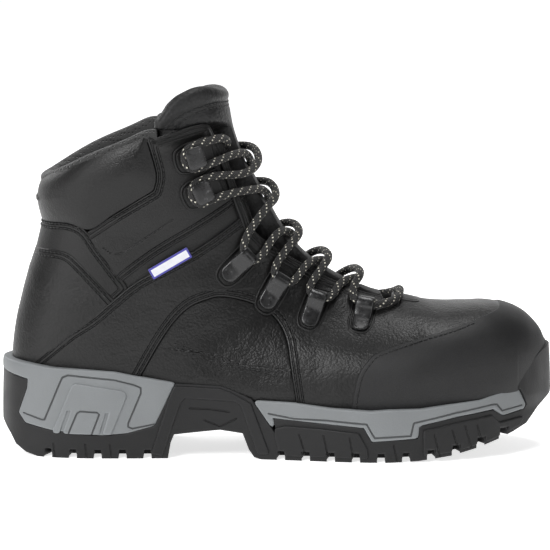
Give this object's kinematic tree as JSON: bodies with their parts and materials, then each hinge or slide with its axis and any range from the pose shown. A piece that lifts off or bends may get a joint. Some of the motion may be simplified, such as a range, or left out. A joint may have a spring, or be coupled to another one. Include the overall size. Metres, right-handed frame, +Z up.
{
  "type": "steel toe work boot",
  "caption": "Black leather lace-up safety boot for the right foot, with a padded collar, a smooth toe guard over a steel cap and a grey and black lugged sole.",
  "frame": {"origin": "centre of the boot's footprint box on the floor: middle of its length and width, at the tread's lowest face", "axes": "+X from the heel to the toe, -Y to the outer (lateral) side of this right boot, +Z up"},
  "size_m": [0.3094, 0.1118, 0.2079],
  "materials": {
    "grained_leather": "black pebbled full-grain leather, satin",
    "smooth_leather": "black finely grained leather, satin",
    "coated_leather": "black abrasion-resistant coated leather, matte and smooth",
    "soft_foam": "open-cell foam, matte",
    "lining_mesh": "black air mesh with a membrane behind it",
    "cap_steel": "pressed steel with a dull coating",
    "stiffener_plastic": "moulded sheet, matte",
    "footbed_fabric": "knit-covered foam",
    "grey_foam": "grey moulded foam, fine matte texture",
    "black_rubber": "black moulded rubber, matte with smoother ribs",
    "black_metal": "black enamel, semi-gloss",
    "lace_braid": "round black braid with cream flecks",
    "aglet_plastic": "shrunk plastic film",
    "label_weave": "woven tab, blue border and plain white field"
  },
  "bodies": {
    "boot": {"quarter_outer": "grained_leather", "quarter_inner": "grained_leather", "vamp": "grained_leather", "toe_guard": "coated_leather", "throat_patch": "smooth_leather", "heel_counter_cover": "grained_leather", "heel_band": "smooth_leather", "arch_panel_outer": "grained_leather", "arch_panel_inner": "grained_leather", "ankle_strap_outer": "smooth_leather", "ankle_strap_inner": "smooth_leather", "lace_facing_outer": "smooth_leather", "lace_facing_inner": "smooth_leather", "hook_facing_outer": "smooth_leather", "hook_facing_inner": "smooth_leather", "collar_cover": "grained_leather", "collar_foam": "soft_foam", "lining_sock": "lining_mesh", "steel_toe_cap": "cap_steel", "toe_cap_rim_strip": "soft_foam", "heel_stiffener": "stiffener_plastic", "insole_board": "stiffener_plastic", "midsole": "grey_foam", "shank": "stiffener_plastic", "outsole": "black_rubber", "side_label": "label_weave", "lace": "lace_braid", "aglet_outer": "aglet_plastic", "aglet_inner": "aglet_plastic", "lace_loop_outer_1": "black_metal", "lace_loop_outer_2": "black_metal", "lace_loop_outer_3": "black_metal", "lace_loop_outer_4": "black_metal", "lace_hook_outer_1": "black_metal", "lace_hook_outer_2": "black_metal", "loop_rivets_outer": "black_metal", "lace_loop_inner_1": "black_metal", "lace_loop_inner_2": "black_metal", "lace_loop_inner_3": "black_metal", "lace_loop_inner_4": "black_metal", "lace_hook_inner_1": "black_metal", "lace_hook_inner_2": "black_metal", "loop_rivets_inner": "black_metal"},
    "tongue": {"tongue_leather": "grained_leather", "tongue_padding": "soft_foam", "tongue_lining": "lining_mesh"},
    "footbed": {"footbed": "footbed_fabric"}
  },
  "joints": [
    {"name": "tongue_hinge", "type": "hinge", "parent": "boot", "child": "tongue", "pos_m": [0.066, 0, 0.08], "axis": [0, 1, 0], "range_deg": [-7, 0]},
    {"name": "footbed_lift", "type": "hinge", "parent": "boot", "child": "footbed", "pos_m": [0.137, 0, 0.033], "axis": [0, 1, 0], "range_deg": [0, 8]}
  ]
}
